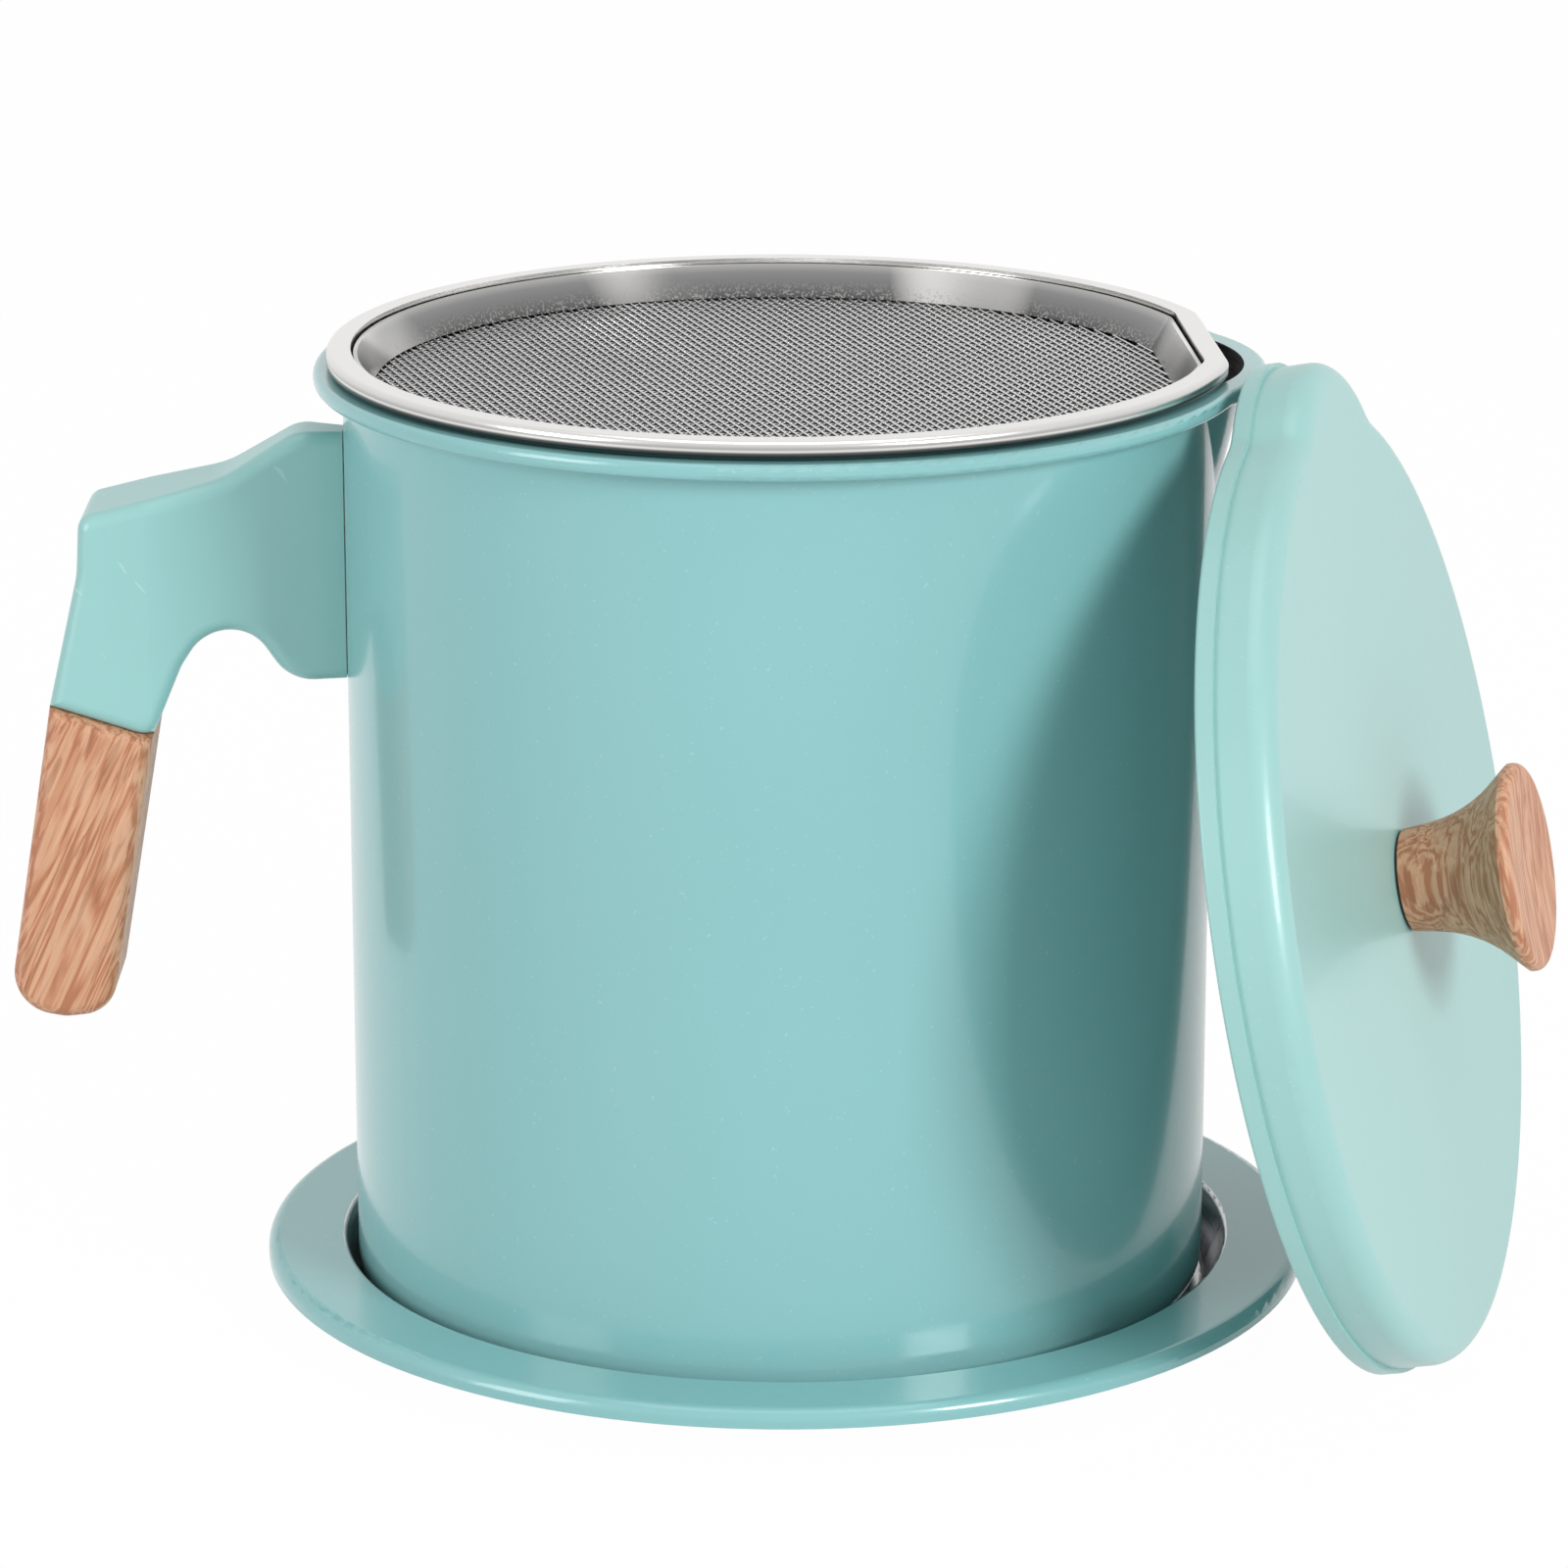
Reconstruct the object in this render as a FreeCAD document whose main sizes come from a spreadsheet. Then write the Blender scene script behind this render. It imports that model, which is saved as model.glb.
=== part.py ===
import FreeCAD, Part
import math
import os
import Sketcher
from FreeCAD import Placement, Rotation, Vector

# Grease keeper for a kitchen: a steel pot with a pouring beak and a side handle stands in a wide tray,
# a mesh strainer hangs in its mouth, and the lid stands beside it, leaning towards the rim.
# Millimetres, +Z up. The origin is the centre of the tray's foot, on the table. The beak points along +X.

os.makedirs("parts", exist_ok=True)
doc = FreeCAD.newDocument("grease_keeper")

SIZES = {
    # Tray
    "tray_flange_radius": 79.6,
    "tray_well_radius": 67.8,
    "tray_foot_radius": 65.4,
    "tray_height": 8.1,
    "tray_wall": 0.8,
    "tray_lip_drop": 2.8,
    "tray_bend": 1.8,
    # Pot
    "pot_radius": 65.0,
    "pot_wall": 0.7,
    "pot_rim_height": 143.8,
    "pot_corner": 5.0,
    "pot_offset": 0.8,
    "rim_radius": 69.3,
    "rim_band": 2.4,
    "rim_edge": 0.9,
    "rim_tip": 72.3,
    "rim_tip_curve": 38.0,
    "beak_tip": 69.0,
    "beak_curve": 31.3,
    "beak_low_curve": 20.0,
    "beak_low_tip": 63.9,
    "beak_depth": 22.0,
    "beak_blend": 8.0,
    # Clearance between a piece that lifts off and its seat, and inside a glued or screwed fit
    "seat_gap": 0.3,
    "fit_gap": 0.15,
    # How far a piece is drawn past the pot's wall before the wall is cut from it
    "wall_overlap": 3.0,
    # Strainer
    "strainer_radius": 67.3,
    "strainer_ring_width": 3.6,
    "strainer_ring_height": 2.6,
    "strainer_edge": 0.9,
    "strainer_flat": 64.9,
    "strainer_turn": 4.0,
    "strainer_corner": 12.0,
    "mesh_gap": 0.4,
    "mesh_wall": 0.6,
    "mesh_depth": 6.2,
    "mesh_drop": 0.8,
    "mesh_border": 1.5,
    "mesh_taper": 2.8,
    "mesh_corner": 8.0,
    "mesh_pitch": 7.0,
    "mesh_hole": 5.2,
    # Handle, measured from the pot's axis, and from a table that lies the datum below the pot's rim.
    # A rise is measured from the seam between arm and grip.
    "arm_top": 133.3,
    "arm_neck": 72.0,
    "arm_waist": 83.0,
    "arm_waist_height": 127.2,
    "arm_shoulder": 104.2,
    "arm_shoulder_height": 121.9,
    "arm_elbow": 104.7,
    "arm_elbow_height": 113.0,
    "handle_datum": 143.8,
    "seam_out": 109.3,
    "seam_in": 94.0,
    "seam_height": 88.0,
    "seam_rise": 4.9,
    "arch_side": 89.5,
    "arch_side_rise": 10.8,
    "arch_top": 82.6,
    "arch_top_rise": 21.3,
    "arm_heel": 73.6,
    "arm_heel_rise": 7.6,
    "arm_root_half": 3.6,
    "arm_neck_rise": 0.6,
    "arm_neck_round": 6.0,
    "arm_waist_round": 16.0,
    "arm_shoulder_round": 2.6,
    "arm_elbow_round": 14.0,
    "arch_side_round": 8.0,
    "arch_top_round": 6.5,
    "arm_heel_round": 7.0,
    "handle_width": 20.0,
    "handle_round": 2.2,
    "grip_end_out": 116.9,
    "grip_end_out_height": 45.6,
    "grip_end": 108.3,
    "grip_end_height": 44.0,
    "grip_end_in": 101.3,
    "grip_end_in_height": 44.8,
    "grip_out_round": 6.5,
    "grip_in_round": 5.5,
    "grip_end_round": 6.0,
    "grip_lean": 9.3,
    "tenon_root": 5.0,
    "tenon_length": 26.0,
    "tenon_width": 9.0,
    "tenon_depth": 7.0,
    "weld_gap": 0.02,
    "bracket_thickness": 2.4,
    "bracket_height": 24.0,
    "bracket_reach": 79.0,
    "bracket_middle": 115.0,
    "screw_radius": 1.6,
    "screw_head_radius": 3.0,
    "screw_head_height": 1.8,
    "handle_screw_along": 72.5,
    "handle_screw_length": 8.0,
    "grip_screw_length": 30.0,
    "grip_screw_sink": 1.0,
    # Lid
    "lid_lip_radius": 71.8,
    "lid_lip_height": 2.7,
    "lid_beak_reach": 6.2,
    "lid_lip_curve": 29.0,
    "lid_lip_step": 0.7,
    "lid_wall": 1.7,
    "lid_height": 11.0,
    "lid_shoulder": 3.6,
    "lid_edge": 0.5,
    "lid_blend": 9.0,
    "lid_lean": 11.6,
    "lid_swing": 16.8,
    "lid_beak_turn": 7.0,
    "lid_gap": 0.67,
    "lid_aside": 3.26,
    # Knob
    "knob_base_radius": 7.6,
    "knob_neck_radius": 8.8,
    "knob_neck_height": 10.0,
    "knob_neck_curve": 19.0,
    "knob_cap_radius": 15.3,
    "knob_height": 18.9,
    "knob_edge": 1.2,
    "knob_brim": 1.7,
    "knob_dish": 0.8,
    "washer_thickness": 0.5,
    "washer_radius": 7.2,
    "insert_radius": 3.2,
    "insert_length": 9.0,
    "knob_screw_radius": 2.0,
    "knob_screw_length": 10.5,
    "knob_head_radius": 4.2,
    "knob_head_height": 2.4,
}

sheet = doc.addObject("Spreadsheet::Sheet", "Sizes")
for row, (alias, number) in enumerate(SIZES.items(), start=1):
    sheet.set(f"A{row}", alias)
    sheet.set(f"B{row}", str(number))
    sheet.setAlias(f"B{row}", alias)
doc.recompute()


class Size:
    """A length as a number and as the expression over the sheet that gives it."""

    def __init__(self, number, text):
        self.number = number
        self.text = text

    @staticmethod
    def of(other):
        return other if isinstance(other, Size) else Size(float(other), repr(float(other)))

    def _join(self, other, sign, number, swap=False):
        first, second = (Size.of(other), self) if swap else (self, Size.of(other))
        return Size(number(first.number, second.number), f"({first.text} {sign} {second.text})")

    def __add__(self, other):
        return self._join(other, "+", lambda a, b: a + b)

    def __radd__(self, other):
        return self._join(other, "+", lambda a, b: a + b, True)

    def __sub__(self, other):
        return self._join(other, "-", lambda a, b: a - b)

    def __rsub__(self, other):
        return self._join(other, "-", lambda a, b: a - b, True)

    def __mul__(self, other):
        return self._join(other, "*", lambda a, b: a * b)

    def __rmul__(self, other):
        return self._join(other, "*", lambda a, b: a * b, True)

    def __truediv__(self, other):
        return self._join(other, "/", lambda a, b: a / b)

    def __neg__(self):
        return Size(-self.number, f"(-1 * {self.text})")


class Sheet:
    """Each driving size by its alias."""

    def __getattr__(self, alias):
        return Size(float(sheet.get(alias)), "Sizes." + alias)


size = Sheet()


def cosine(angle):
    return Size(math.cos(math.radians(angle.number)), f"cos({angle.text})")


def sine(angle):
    return Size(math.sin(math.radians(angle.number)), f"sin({angle.text})")


def bind(thing, prop, value):
    """Set a property to a size and keep it bound to the sheet."""
    value = Size.of(value)
    if "." not in prop:
        setattr(thing, prop, value.number)
    thing.setExpression(prop, value.text)


def new_body(label):
    body = doc.addObject("PartDesign::Body", label)
    body.Label = label
    return body


def new_sketch(body, name, plane, height=None):
    """A sketch on one of the body's own planes, moved along the plane's normal by a height."""
    sketch = body.newObject("Sketcher::SketchObject", name)
    origin = [f for f in body.Origin.OriginFeatures if f.Role == plane][0]
    sketch.AttachmentSupport = [(origin, "")]
    sketch.MapMode = "FlatFace"
    if height is not None:
        height = Size.of(height)
        sketch.AttachmentOffset = Placement(Vector(0, 0, height.number), Rotation())
        sketch.setExpression("AttachmentOffset.Base.z", height.text)
    return sketch


def place_point(sketch, geo, end, point):
    """Tie one point of a sketch to its two coordinates."""
    for kind, axis, value in (("DistanceX", -2, Size.of(point[0])), ("DistanceY", -1, Size.of(point[1]))):
        if value.text in ("0.0", "0"):
            sketch.addConstraint(Sketcher.Constraint("PointOnObject", geo, end, axis))
            continue
        index = sketch.addConstraint(Sketcher.Constraint(kind, -1, 1, geo, end, value.number))
        sketch.setExpression(f"Constraints[{index}]", value.text)


def flat(point):
    return Vector(Size.of(point[0]).number, Size.of(point[1]).number, 0)


def polygon(sketch, points):
    """A closed run of straight lines whose corners are tied to the sheet."""
    first = sketch.GeometryCount
    count = len(points)
    for index, point in enumerate(points):
        sketch.addGeometry(Part.LineSegment(flat(point), flat(points[(index + 1) % count])))
    for index, point in enumerate(points):
        after = first + (index + 1) % count
        sketch.addConstraint(Sketcher.Constraint("Coincident", first + index, 2, after, 1))
        place_point(sketch, first + index, 1, point)


def circle(sketch, radius, centre_x=0, centre_y=0):
    centre = (centre_x, centre_y)
    geo = sketch.addGeometry(Part.Circle(flat(centre), Vector(0, 0, 1), radius.number))
    place_point(sketch, geo, 3, centre)
    index = sketch.addConstraint(Sketcher.Constraint("Radius", geo, radius.number))
    sketch.setExpression(f"Constraints[{index}]", radius.text)


def beaked_circle(sketch, radius, tip, tip_curve, blend):
    """A circle with a rounded beak along +X: main arc, beak arc and two blends, all tangent."""
    main, nose, fillet = radius.number, tip_curve.number, blend.number
    nose_x = tip.number - nose
    reach = ((main + fillet) ** 2 + nose_x ** 2 - (nose + fillet) ** 2) / (2 * nose_x)
    blend_y = math.sqrt((main + fillet) ** 2 - reach ** 2)
    side = math.atan2(blend_y, reach)
    nose_side = math.atan2(blend_y, reach - nose_x)
    centres = (Vector(0, 0, 0), Vector(nose_x, 0, 0), Vector(reach, blend_y, 0), Vector(reach, -blend_y, 0))
    spans = ((side, 2 * math.pi - side), (-nose_side, nose_side),
             (side + math.pi, nose_side + math.pi), (math.pi - nose_side, math.pi - side))
    radii = (main, nose, fillet, fillet)
    up = Vector(0, 0, 1)
    base = sketch.GeometryCount
    for centre, span, arc_radius in zip(centres, spans, radii):
        sketch.addGeometry(Part.ArcOfCircle(Part.Circle(centre, up, arc_radius), *span))
    main_arc, nose_arc, upper, lower = base, base + 1, base + 2, base + 3
    sketch.addConstraint(Sketcher.Constraint("Coincident", main_arc, 3, -1, 1))
    sketch.addConstraint(Sketcher.Constraint("Tangent", main_arc, 1, upper, 1))
    sketch.addConstraint(Sketcher.Constraint("Tangent", upper, 2, nose_arc, 2))
    sketch.addConstraint(Sketcher.Constraint("Tangent", nose_arc, 1, lower, 1))
    sketch.addConstraint(Sketcher.Constraint("Tangent", lower, 2, main_arc, 2))
    place_point(sketch, nose_arc, 3, (tip - tip_curve, 0))
    for geo, value in ((main_arc, radius), (nose_arc, tip_curve), (upper, blend), (lower, blend)):
        index = sketch.addConstraint(Sketcher.Constraint("Radius", geo, value.number))
        sketch.setExpression(f"Constraints[{index}]", value.text)


def flattened_circle(sketch, radius, flat_x, corner):
    """A circle cut by a flat across +X, with both corners rounded."""
    main, cut, fillet = radius.number, flat_x.number, corner.number
    corner_x = cut - fillet
    corner_y = math.sqrt((main - fillet) ** 2 - corner_x ** 2)
    side = math.atan2(corner_y, corner_x)
    up = Vector(0, 0, 1)
    base = sketch.GeometryCount
    sketch.addGeometry(Part.ArcOfCircle(Part.Circle(Vector(0, 0, 0), up, main), side, 2 * math.pi - side))
    sketch.addGeometry(Part.ArcOfCircle(Part.Circle(Vector(corner_x, corner_y, 0), up, fillet), 0, side))
    sketch.addGeometry(Part.ArcOfCircle(Part.Circle(Vector(corner_x, -corner_y, 0), up, fillet), -side, 0))
    sketch.addGeometry(Part.LineSegment(Vector(cut, -corner_y, 0), Vector(cut, corner_y, 0)))
    main_arc, upper, lower, line = base, base + 1, base + 2, base + 3
    sketch.addConstraint(Sketcher.Constraint("Coincident", main_arc, 3, -1, 1))
    sketch.addConstraint(Sketcher.Constraint("Tangent", main_arc, 1, upper, 2))
    sketch.addConstraint(Sketcher.Constraint("Tangent", upper, 1, line, 2))
    sketch.addConstraint(Sketcher.Constraint("Tangent", line, 1, lower, 2))
    sketch.addConstraint(Sketcher.Constraint("Tangent", lower, 1, main_arc, 2))
    index = sketch.addConstraint(Sketcher.Constraint("DistanceX", -1, 1, line, 1, cut))
    sketch.setExpression(f"Constraints[{index}]", flat_x.text)
    for geo, value in ((main_arc, radius), (upper, corner), (lower, corner)):
        index = sketch.addConstraint(Sketcher.Constraint("Radius", geo, value.number))
        sketch.setExpression(f"Constraints[{index}]", value.text)


def extrude(body, kind, name, sketch, length, reverse=False, midplane=False):
    """A Pad or a Pocket of a sketch. A pocket that isn't reversed cuts against the sketch's normal."""
    feature = body.newObject("PartDesign::" + kind, name)
    feature.Profile = sketch
    feature.Reversed = reverse
    if midplane:
        feature.Midplane = True
    bind(feature, "Length", length)
    doc.recompute()
    return feature


def turn(body, kind, name, sketch):
    """A Revolution or a Groove of a half profile, about the sketch's vertical axis."""
    feature = body.newObject("PartDesign::" + kind, name)
    feature.Profile = sketch
    feature.ReferenceAxis = (sketch, ["V_Axis"])
    feature.Angle = 360.0
    doc.recompute()
    return feature


def loft(body, kind, name, low, high):
    feature = body.newObject("PartDesign::" + kind, name)
    feature.Profile = low
    feature.Sections = [high]
    feature.Ruled = True
    doc.recompute()
    return feature


def edges_at(feature, test):
    """The names of the edges whose every sampled point passes a test."""
    names = []
    for number, edge in enumerate(feature.Shape.Edges, start=1):
        if edge.Length < 1e-6:
            continue
        points = edge.discretize(5)
        if all(test(point) for point in points):
            names.append(f"Edge{number}")
    return names


def round_edges(body, name, base, test, radius):
    names = edges_at(base, test)
    if not names:
        raise RuntimeError("no edges to round for " + name)
    fillet = body.newObject("PartDesign::Fillet", name)
    fillet.Base = (base, names)
    bind(fillet, "Radius", radius)
    doc.recompute()
    return fillet


def near(value, target, slack=0.02):
    return abs(value - Size.of(target).number) < slack


def across(point):
    return math.hypot(point.x, point.y)


PARTS = []


def keep(thing, label):
    thing.Label = label
    PARTS.append(thing)
    return thing


def stand(thing, x=0, y=0, z=0, turns=()):
    """Place a sub-part by sizes: a shift, then turns given as axis and angle, each in the turned frame."""
    shift = [Size.of(value) for value in (x, y, z)]
    text = "vector(" + "; ".join(f"{value.text} * 1" for value in shift) + ")"
    spin = Rotation()
    spins = []
    for axis, angle in turns:
        spin = spin * Rotation(Vector(*axis), angle.number)
        spins.append(f"rotation(vector({axis[0]}; {axis[1]}; {axis[2]}); {angle.text})")
    thing.Placement = Placement(Vector(*(value.number for value in shift)), spin)
    thing.setExpression("Placement", f"placement({text}; {' * '.join(spins) or 'rotation(vector(0; 0; 1); 0)'})")


def round_corners(body, base, corners):
    """Round upright or lying edges one radius at a time. Each corner is a name, a test and a radius."""
    for name, test, radius in corners:
        base = round_edges(body, name, base, test, radius)
    return base


def ring_at(radius, height):
    """A test for the round edges at one radius and one height."""
    return lambda point: near(across(point), radius) and near(point.z, height)


def post_at(x, z):
    """A test for an edge along Y through one point of the side view."""
    return lambda point: near(point.x, x) and near(point.z, z)


def cut_round_wall(body, name, radius, top):
    """Cut a body by an upright cylinder about the axis, from the table up to a height."""
    sketch = new_sketch(body, name + "_outline", "XY_Plane", top)
    circle(sketch, radius)
    return extrude(body, "Pocket", name, sketch, top)


def cylinder(name, radius, length):
    thing = doc.addObject("Part::Cylinder", name)
    bind(thing, "Radius", radius)
    bind(thing, "Height", length)
    return thing


def cut(name, base, *tools):
    """A Part boolean that takes one or more tools from a base."""
    for index, tool in enumerate(tools):
        result = doc.addObject("Part::Cut", name if index == len(tools) - 1 else f"{name}_{index}")
        result.Base = base
        result.Tool = tool
        base = result
    doc.recompute()
    return base


def fuse(name, *things):
    result = doc.addObject("Part::MultiFuse", name)
    result.Shapes = list(things)
    result.Refine = True
    doc.recompute()
    return result


X_AXIS = (1, 0, 0)
Y_AXIS = (0, 1, 0)
Z_AXIS = (0, 0, 1)
right_angle = Size.of(90)
half_turn = Size.of(180)

pot_floor = size.tray_wall + size.seat_gap
strainer_seat = size.pot_rim_height + size.seat_gap
arm_root = size.wall_overlap - size.pot_radius
screw_reach = size.handle_screw_length / 2
seam_out_height = size.seam_height + size.seam_rise
handle_lift = size.pot_rim_height - size.handle_datum


def make_tray():
    body = new_body("tray_dish")
    wall = size.tray_wall
    top = size.tray_height
    under = top - wall
    foot = size.tray_foot_radius
    well = size.tray_well_radius
    flange = size.tray_flange_radius
    inner_lip = flange - wall
    lip_foot = top - size.tray_lip_drop
    sketch = new_sketch(body, "tray_profile", "XZ_Plane")
    polygon(sketch, [(0, 0), (foot, 0), (well + wall, under), (inner_lip, under), (inner_lip, lip_foot),
                     (flange, lip_foot), (flange, top), (well, top), (foot - wall, wall), (0, wall)])
    base = turn(body, "Revolution", "tray_sheet", sketch)
    round_corners(body, base, [
        ("tray_outer_bend", ring_at(flange, top), size.tray_bend),
        ("tray_inner_bend", ring_at(inner_lip, under), size.tray_bend - wall),
        ("tray_foot_bend", ring_at(foot, 0), size.tray_bend),
        ("tray_floor_bend", ring_at(foot - wall, wall), size.tray_bend - wall),
        ("tray_well_edge", ring_at(well, top), wall),
    ])
    keep(body, "tray_dish")


def make_pot():
    body = new_body("pot_shell")
    radius = size.pot_radius
    wall = size.pot_wall
    rim = size.pot_rim_height
    low = rim - size.beak_depth
    corner = size.pot_corner
    sketch = new_sketch(body, "pot_profile", "XZ_Plane")
    polygon(sketch, [(0, pot_floor), (radius, pot_floor), (radius, rim), (0, rim)])
    turn(body, "Revolution", "pot_core", sketch)
    flange = new_sketch(body, "rim_outline", "XY_Plane", rim - size.rim_band)
    beaked_circle(flange, size.rim_radius, size.rim_tip, size.rim_tip_curve, size.beak_blend)
    extrude(body, "Pad", "rim_flange", flange, size.rim_band)

    def beak(kind, name, extra):
        low_outline = new_sketch(body, name + "_low", "XY_Plane", low)
        circle(low_outline, size.beak_low_curve + extra, size.beak_low_tip - size.beak_low_curve)
        high_outline = new_sketch(body, name + "_high", "XY_Plane", rim)
        circle(high_outline, size.beak_curve + extra, size.beak_tip - size.beak_curve)
        return loft(body, kind, name, low_outline, high_outline)

    beak("AdditiveLoft", "beak_outside", wall)
    hollow = new_sketch(body, "hollow_profile", "XZ_Plane")
    inner = radius - wall
    inner_floor = pot_floor + wall
    polygon(hollow, [(0, inner_floor), (inner, inner_floor), (inner, rim + wall), (0, rim + wall)])
    base = turn(body, "Groove", "pot_hollow", hollow)
    base = round_edges(body, "hollow_corner", base, ring_at(inner, inner_floor), corner - wall)
    round_edges(body, "pot_corner_round", base, ring_at(radius, pot_floor), corner)
    base = beak("SubtractiveLoft", "beak_inside", Size.of(0))

    def flange_edge(height):
        return lambda point: near(point.z, height) and across(point) > size.rim_radius.number - 0.05

    base = round_edges(body, "rim_top_edge", base, flange_edge(rim), size.rim_edge)
    round_edges(body, "rim_low_edge", base, flange_edge(rim - size.rim_band), size.rim_edge)
    stand(body, x=-size.pot_offset)
    keep(body, "pot_shell")


def make_bracket():
    body = new_body("handle_bracket")
    half = size.bracket_height / 2
    low = size.bracket_middle - half
    high = size.bracket_middle + half
    sketch = new_sketch(body, "bracket_outline", "XZ_Plane")
    polygon(sketch, [(-size.bracket_reach, low), (arm_root, low), (arm_root, high), (-size.bracket_reach, high)])
    extrude(body, "Pad", "bracket_plate", sketch, size.bracket_thickness, midplane=True)
    cut_round_wall(body, "bracket_wall_cut", size.pot_radius + size.weld_gap, high + size.wall_overlap)
    hole = new_sketch(body, "bracket_hole_outline", "XZ_Plane")
    circle(hole, size.screw_radius + size.fit_gap, -size.handle_screw_along, size.bracket_middle)
    extrude(body, "Pocket", "bracket_hole", hole, size.bracket_thickness * 2, midplane=True)
    stand(body, x=-size.pot_offset, z=handle_lift)
    keep(body, "handle_bracket")


def along_grip(distance, side):
    """A point of the side view at a distance down the grip's axis from the seam, and to one side."""
    down = size.grip_lean
    middle_x = (size.seam_out + size.seam_in) / -2
    middle_z = (seam_out_height + size.seam_height) / 2
    return (middle_x - distance * sine(down) + side * cosine(down),
            middle_z - distance * cosine(down) - side * sine(down))


def tenon_outline(sketch, extra):
    half = size.tenon_depth / 2 + extra
    end = size.tenon_length + extra
    polygon(sketch, [along_grip(-size.tenon_root, -half), along_grip(-size.tenon_root, half),
                     along_grip(end, half), along_grip(end, -half)])


grip_foot_distance = (seam_out_height + size.seam_height) / 2 - size.grip_end_height


screw_foot = grip_foot_distance - size.grip_screw_sink


def along_grip_tool(name, radius, distance, length):
    """A cylinder on the grip's axis: from a distance below the seam, up towards the arm."""
    thing = cylinder(name, radius, length)
    foot = along_grip(distance, Size.of(0))
    stand(thing, foot[0] - size.pot_offset, 0, foot[1] + handle_lift, [(Y_AXIS, size.grip_lean)])
    return thing


def make_arm():
    body = new_body("handle_arm_core")
    outline = new_sketch(body, "arm_outline", "XZ_Plane")
    heel_height = size.seam_height + size.arm_heel_rise
    neck = (-size.arm_neck, size.arm_top + size.arm_neck_rise)
    waist = (-size.arm_waist, size.arm_waist_height)
    shoulder = (-size.arm_shoulder, size.arm_shoulder_height)
    elbow = (-size.arm_elbow, size.arm_elbow_height)
    arch_side = (-size.arch_side, size.seam_height + size.arch_side_rise)
    arch_top = (-size.arch_top, size.seam_height + size.arch_top_rise)
    heel = (-size.arm_heel, heel_height)
    polygon(outline, [(arm_root, size.arm_top), neck, waist, shoulder, elbow,
                      (-size.seam_out, seam_out_height), (-size.seam_in, size.seam_height), arch_side, arch_top, heel, (arm_root, heel_height)])
    base = extrude(body, "Pad", "arm_block", outline, size.handle_width, midplane=True)
    round_corners(body, base, [
        ("arm_neck_round", post_at(*neck), size.arm_neck_round),
        ("arm_waist_round", post_at(*waist), size.arm_waist_round),
        ("arm_shoulder_round", post_at(*shoulder), size.arm_shoulder_round),
        ("arm_elbow_round", post_at(*elbow), size.arm_elbow_round),
        ("arch_side_round", post_at(*arch_side), size.arch_side_round),
        ("arch_top_round", post_at(*arch_top), size.arch_top_round),
        ("arm_heel_round", post_at(*heel), size.arm_heel_round),
    ])
    half = size.handle_width / 2
    wide = -size.seam_in
    for name, side in (("arm_far_taper", 1), ("arm_near_taper", -1)):
        taper = new_sketch(body, name + "_outline", "XY_Plane", size.arm_top + size.wall_overlap)
        polygon(taper, [(arm_root, side * size.arm_root_half), (arm_root, side * size.handle_width),
                        (wide, side * size.handle_width), (wide, side * half)])
        extrude(body, "Pocket", name, taper, size.arm_top)
    base = cut_round_wall(body, "arm_wall_cut", size.pot_radius + size.fit_gap, size.arm_top + size.wall_overlap)
    round_edges(body, "arm_edges", base, arm_rim_edge, size.handle_round)
    slot = new_sketch(body, "slot_outline", "XZ_Plane")
    slot_half = size.bracket_height / 2 + size.fit_gap
    slot_low = size.bracket_middle - slot_half
    slot_high = size.bracket_middle + slot_half
    slot_end = -size.bracket_reach - size.fit_gap
    polygon(slot, [(slot_end, slot_low), (arm_root, slot_low), (arm_root, slot_high), (slot_end, slot_high)])
    extrude(body, "Pocket", "bracket_slot", slot, size.bracket_thickness + size.fit_gap * 2, midplane=True)
    screw = new_sketch(body, "screw_hole_outline", "XZ_Plane")
    circle(screw, size.screw_radius + size.fit_gap, -size.handle_screw_along, size.bracket_middle)
    extrude(body, "Pocket", "screw_hole", screw, screw_reach * 2, midplane=True)
    head = new_sketch(body, "head_hole_outline", "XZ_Plane", -(screw_reach - size.screw_head_height))
    circle(head, size.screw_head_radius + size.fit_gap, -size.handle_screw_along, size.bracket_middle)
    extrude(body, "Pocket", "head_hole", head, size.handle_width)
    tenon = new_sketch(body, "tenon_outline", "XZ_Plane")
    tenon_outline(tenon, Size.of(0))
    extrude(body, "Pad", "tenon", tenon, size.tenon_width, midplane=True)
    stand(body, x=-size.pot_offset, z=handle_lift)
    bore = along_grip_tool("arm_bore", size.screw_radius + size.fit_gap, screw_foot,
                           size.grip_screw_length + size.grip_screw_sink)
    keep(cut("handle_arm", body, bore), "handle_arm")


def arm_rim_edge(point):
    """The arm's outline edges on its two flat sides, away from the pot and the seam."""
    seam_height = seam_out_height.number + 0.3
    clear_of_pot = across(point) > size.pot_radius.number + 0.5
    half = size.arm_root_half.number
    lean = (size.handle_width.number / 2 - half) / (size.seam_in + arm_root).number
    side = half + (-point.x + arm_root.number) * lean
    side = min(side, size.handle_width.number / 2)
    return clear_of_pot and near(abs(point.y), side, 0.05) and point.z > size.seam_height.number - 1


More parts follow.
